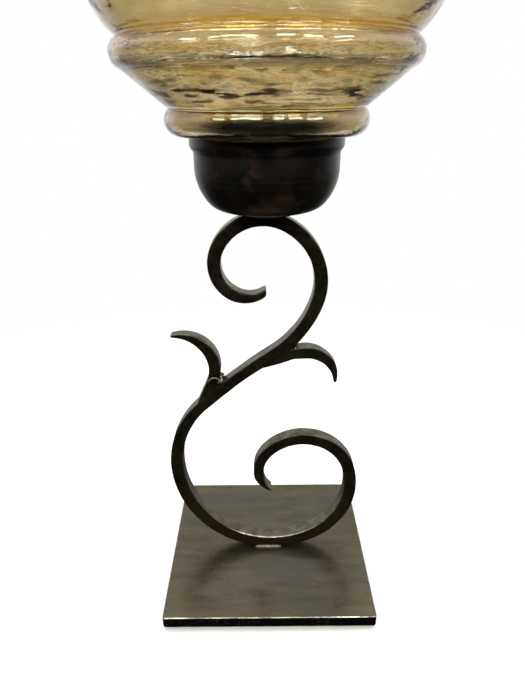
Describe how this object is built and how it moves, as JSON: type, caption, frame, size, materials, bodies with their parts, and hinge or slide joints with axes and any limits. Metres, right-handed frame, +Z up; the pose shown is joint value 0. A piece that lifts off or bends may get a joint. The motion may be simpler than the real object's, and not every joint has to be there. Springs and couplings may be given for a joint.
{
  "type": "candle holder",
  "caption": "Hurricane candle holder: a scrolled iron bar with leaves on a square plate carries a cup, and a ringed glass shade lifts out of it.",
  "frame": {"origin": "centre of the foot pads' underside, on the floor", "axes": "+Z up, +X right and +Y to the back, with the scroll in the XZ plane"},
  "size_m": [0.1874, 0.1874, 0.4911],
  "materials": {
    "dark_iron": "dark bronze-brown satin lacquer over iron",
    "bronze_plate": "brushed dark bronze, worn along the edges",
    "weld": "weld bead under the same dark lacquer",
    "spun_cup": "satin dark bronze over spun steel",
    "steel": "bright steel",
    "felt": "dense felt",
    "amber_glass": "hand-worked amber glass with a pale lustre"
  },
  "bodies": {
    "stand": {"base_plate": "bronze_plate", "foot_pad_front_left": "felt", "foot_pad_front_right": "felt", "foot_pad_back_left": "felt", "foot_pad_back_right": "felt", "scroll_bar": "dark_iron", "left_leaf": "dark_iron", "right_leaf": "dark_iron", "left_leaf_weld": "weld", "right_leaf_weld": "weld", "base_weld_front": "weld", "base_weld_back": "weld", "cup_support_disc": "steel", "cup": "spun_cup", "cup_washer": "steel", "cup_screw": "steel"},
    "shade": {"glass_shade": "amber_glass"}
  },
  "joints": [
    {"name": "glass_lift", "type": "slide", "parent": "stand", "child": "shade", "axis": [0, 0, 1], "range_m": [0, 0.08]}
  ]
}
